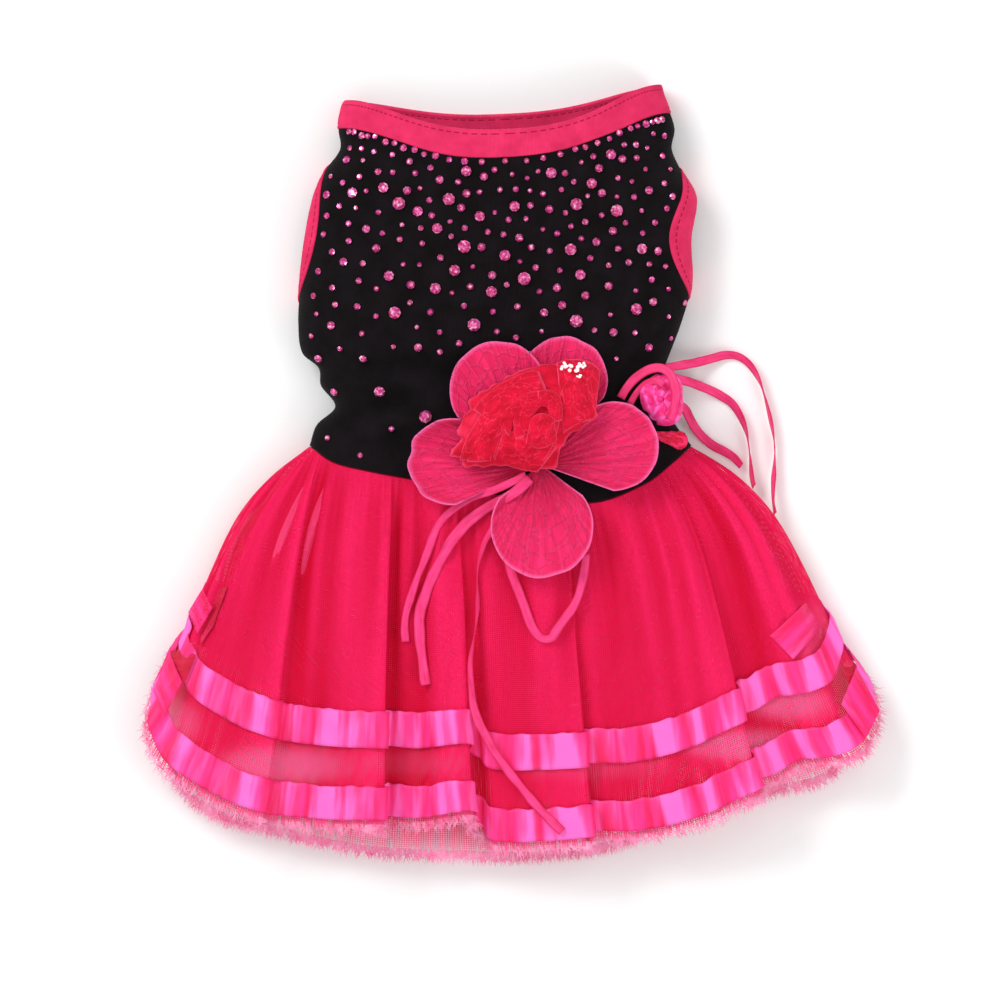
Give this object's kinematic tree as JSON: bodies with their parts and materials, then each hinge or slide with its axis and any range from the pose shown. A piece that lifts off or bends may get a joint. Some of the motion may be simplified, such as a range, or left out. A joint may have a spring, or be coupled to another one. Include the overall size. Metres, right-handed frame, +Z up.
{
  "type": "dog dress",
  "caption": "Small dog dress lying flat: black knit bodice with pink stones, gathered mesh skirt with satin bands, cloth flower and narrow ribbons.",
  "frame": {"origin": "middle of the dress's outline seen from above, on the surface it lies on", "axes": "+Y runs from the hem to the neck, +X to the wearer's right side as drawn, +Z up out of the decorated back"},
  "size_m": [0.279, 0.2942, 0.053],
  "materials": {
    "black_knit": "fine jersey knit, matt",
    "pink_binding": "folded knit binding, matt",
    "pink_mesh": "stiff fine mesh, gathered",
    "pale_mesh": "fine mesh with a frayed hem",
    "satin_ribbon": "shiny satin ribbon",
    "narrow_ribbon": "narrow satin ribbon",
    "crepe_petal": "pressed crepe cloth",
    "red_organza": "sheer folded organza",
    "bud_satin": "soft satin",
    "cut_stone": "cut stone with a bright back"
  },
  "bodies": {
    "root": {"bodice": "black_knit", "neck_binding": "pink_binding", "armhole_binding_left": "pink_binding", "armhole_binding_right": "pink_binding", "skirt_outer": "pink_mesh", "underskirt": "pale_mesh", "ribbon_band_upper": "satin_ribbon", "ribbon_band_lower": "satin_ribbon", "petal_top_left": "crepe_petal", "petal_top_right": "crepe_petal", "petal_left": "crepe_petal", "petal_right": "crepe_petal", "petal_bottom": "crepe_petal", "rose_outer": "red_organza", "rose_middle": "red_organza", "rose_heart": "red_organza", "rosebud": "bud_satin", "rosebud_leaf": "bud_satin", "ribbon_loop_outer": "narrow_ribbon", "ribbon_loop_middle": "narrow_ribbon", "ribbon_loop_inner": "narrow_ribbon", "ribbon_streamer_wide": "narrow_ribbon", "ribbon_streamer_narrow": "narrow_ribbon", "ribbon_streamer_long": "narrow_ribbon", "ribbon_v_loop": "narrow_ribbon", "ribbon_bud_outer": "narrow_ribbon", "ribbon_bud_inner": "narrow_ribbon", "stone_01": "cut_stone", "stone_02": "cut_stone", "stone_03": "cut_stone", "stone_04": "cut_stone", "stone_05": "cut_stone", "stone_06": "cut_stone", "stone_07": "cut_stone", "stone_08": "cut_stone", "stone_09": "cut_stone", "stone_10": "cut_stone", "stone_11": "cut_stone", "stone_12": "cut_stone", "stone_13": "cut_stone", "stone_14": "cut_stone", "stone_15": "cut_stone", "stone_16": "cut_stone", "stone_17": "cut_stone", "stone_18": "cut_stone", "stone_19": "cut_stone", "stone_20": "cut_stone", "stone_21": "cut_stone", "stone_22": "cut_stone", "stone_23": "cut_stone", "stone_24": "cut_stone", "stone_25": "cut_stone", "stone_26": "cut_stone", "stone_27": "cut_stone", "stone_28": "cut_stone", "stone_29": "cut_stone", "stone_30": "cut_stone"}
  },
  "joints": []
}
